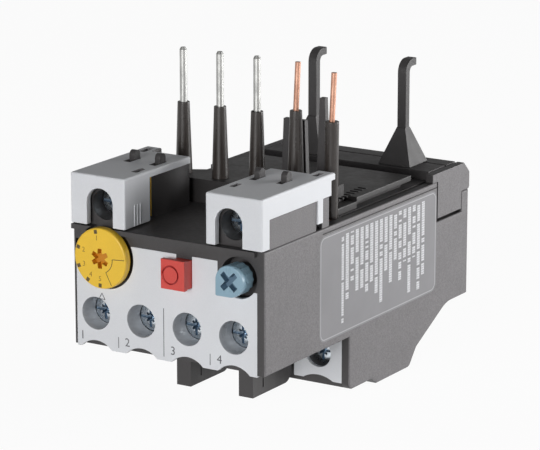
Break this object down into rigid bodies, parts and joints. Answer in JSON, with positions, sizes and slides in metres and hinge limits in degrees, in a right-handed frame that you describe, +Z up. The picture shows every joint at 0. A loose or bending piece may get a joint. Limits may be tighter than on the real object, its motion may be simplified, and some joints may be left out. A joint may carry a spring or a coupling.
{
  "type": "thermal overload relay",
  "caption": "Plug-on thermal overload relay with contactor pins, hooks, setting dial, test button, reset knob and screw terminals in a dark moulded case.",
  "frame": {"origin": "under the middle of the bounding box, on the plane of the foot", "axes": "+X to the right seen from the front, +Y from the front face to the back, +Z up towards the contactor"},
  "size_m": [0.045, 0.0862, 0.069],
  "materials": {
    "black_plastic": "matt moulded thermoplastic, fine spark-eroded grain",
    "grey_plastic": "matt moulded thermoplastic that catches the light",
    "white_plastic": "smooth light grey moulded thermoplastic",
    "label_film": "satin grey printed label, left bare",
    "sleeve_plastic": "warm black moulded insulation",
    "tinned_metal": "tinned copper bar",
    "copper": "bare copper wire",
    "zinc_steel": "zinc plated steel, bluish",
    "contact_brass": "brass with silver faces",
    "yellow_plastic": "smooth yellow moulding",
    "red_plastic": "smooth red moulding",
    "blue_plastic": "smooth light blue moulding",
    "natural_plastic": "uncoloured moulding",
    "spring_steel": "drawn spring wire",
    "bimetal": "rolled bimetal strip",
    "heater_tape": "glass fibre insulated heater winding"
  },
  "bodies": {
    "relay": {"main_case": "black_plastic", "front_block": "black_plastic", "central_block": "black_plastic", "wire_guard": "black_plastic", "deck_plate": "black_plastic", "cap_insert_left": "black_plastic", "cap_insert_right": "black_plastic", "hook_left": "black_plastic", "hook_right": "black_plastic", "side_cover": "grey_plastic", "rear_block": "grey_plastic", "front_plate": "white_plastic", "main_plate_1": "white_plastic", "main_plate_2": "white_plastic", "main_plate_3": "white_plastic", "cap_left": "white_plastic", "cap_right": "white_plastic", "label_plate": "label_film", "pin_sleeve_1": "sleeve_plastic", "pin_sleeve_2": "sleeve_plastic", "pin_sleeve_3": "sleeve_plastic", "wire_sleeve_a": "sleeve_plastic", "wire_sleeve_b": "sleeve_plastic", "phase_pin_1": "tinned_metal", "phase_pin_2": "tinned_metal", "phase_pin_3": "tinned_metal", "busbars_upper": "tinned_metal", "busbars_lower": "tinned_metal", "coil_wire_a": "copper", "coil_wire_b": "copper", "aux_clamps": "zinc_steel", "main_clamps": "zinc_steel", "cap_clamps": "zinc_steel", "nc_contacts": "contact_brass", "no_contacts": "contact_brass", "test_spring": "spring_steel", "reset_spring": "spring_steel", "bimetal_1": "bimetal", "bimetal_2": "bimetal", "bimetal_3": "bimetal", "heaters": "heater_tape"},
    "setting_dial": {"dial": "yellow_plastic", "dial_cam": "natural_plastic"},
    "test_button": {"test_button": "red_plastic"},
    "reset_plunger": {"reset_plunger": "natural_plastic"},
    "reset_knob": {"reset_knob": "blue_plastic"},
    "trip_slider": {"trip_slider": "natural_plastic"},
    "trip_lever": {"trip_lever": "natural_plastic"},
    "contact_carrier": {"contact_carrier": "natural_plastic", "bridge_nc": "contact_brass", "bridge_no": "contact_brass"},
    "aux_screw_1": {"aux_screw_1": "zinc_steel"},
    "aux_screw_2": {"aux_screw_2": "zinc_steel"},
    "aux_screw_3": {"aux_screw_3": "zinc_steel"},
    "aux_screw_4": {"aux_screw_4": "zinc_steel"},
    "main_screw_1": {"main_screw_1": "zinc_steel"},
    "main_screw_2": {"main_screw_2": "zinc_steel"},
    "main_screw_3": {"main_screw_3": "zinc_steel"},
    "cap_screw_left": {"cap_screw_left": "zinc_steel"},
    "cap_screw_right": {"cap_screw_right": "zinc_steel"}
  },
  "joints": [
    {"name": "dial_turn", "type": "hinge", "parent": "relay", "child": "setting_dial", "pos_m": [-0.0149, -0.0415, 0.0317], "axis": [0, -1, 0], "range_deg": [0, 180]},
    {"name": "test_press", "type": "slide", "parent": "relay", "child": "test_button", "axis": [0, 1, 0], "range_m": [0, 0.0014], "stiffness_N_per_m": 300, "springref_m": -0.0015, "deforming": ["test_spring"]},
    {"name": "reset_press", "type": "slide", "parent": "relay", "child": "reset_plunger", "axis": [0, 1, 0], "range_m": [0, 0.0018], "stiffness_N_per_m": 300, "springref_m": -0.0015, "deforming": ["reset_spring"]},
    {"name": "reset_turn", "type": "hinge", "parent": "reset_plunger", "child": "reset_knob", "pos_m": [0.0165, -0.0431, 0.0319], "axis": [0, -1, 0], "range_deg": [0, 90]},
    {"name": "trip_slide", "type": "slide", "parent": "relay", "child": "trip_slider", "axis": [1, 0, 0], "range_m": [0, 0.0012]},
    {"name": "lever_turn", "type": "hinge", "parent": "relay", "child": "trip_lever", "pos_m": [0.0169, -0.0115, 0.0257], "axis": [0, 1, 0], "range_deg": [0, 14]},
    {"name": "carrier_slide", "type": "slide", "parent": "relay", "child": "contact_carrier", "axis": [-1, 0, 0], "range_m": [0, 0.0016]},
    {"name": "aux_screw_1_turn", "type": "hinge", "parent": "relay", "child": "aux_screw_1", "pos_m": [-0.01745, -0.0361, 0.0196], "axis": [0, -1, 0], "continuous": true},
    {"name": "aux_screw_2_turn", "type": "hinge", "parent": "relay", "child": "aux_screw_2", "pos_m": [-0.00655, -0.0361, 0.0196], "axis": [0, -1, 0], "continuous": true},
    {"name": "aux_screw_3_turn", "type": "hinge", "parent": "relay", "child": "aux_screw_3", "pos_m": [0.00435, -0.0361, 0.0196], "axis": [0, -1, 0], "continuous": true},
    {"name": "aux_screw_4_turn", "type": "hinge", "parent": "relay", "child": "aux_screw_4", "pos_m": [0.01525, -0.0361, 0.0196], "axis": [0, -1, 0], "continuous": true},
    {"name": "main_screw_1_turn", "type": "hinge", "parent": "relay", "child": "main_screw_1", "pos_m": [-0.015, -0.0051, 0.0083], "axis": [0, -1, 0], "continuous": true},
    {"name": "main_screw_2_turn", "type": "hinge", "parent": "relay", "child": "main_screw_2", "pos_m": [0, -0.0051, 0.0083], "axis": [0, -1, 0], "continuous": true},
    {"name": "main_screw_3_turn", "type": "hinge", "parent": "relay", "child": "main_screw_3", "pos_m": [0.015, -0.0051, 0.0083], "axis": [0, -1, 0], "continuous": true},
    {"name": "cap_screw_left_turn", "type": "hinge", "parent": "relay", "child": "cap_screw_left", "pos_m": [-0.0155, -0.0359, 0.0422], "axis": [0, -1, 0], "continuous": true},
    {"name": "cap_screw_right_turn", "type": "hinge", "parent": "relay", "child": "cap_screw_right", "pos_m": [0.01485, -0.0359, 0.0422], "axis": [0, -1, 0], "continuous": true}
  ],
  "couplings": [
    {"joint": "lever_turn", "follows": "trip_slide", "rad_per_m": 203.6},
    {"joint": "carrier_slide", "follows": "trip_slide", "ratio": 1.3333}
  ]
}
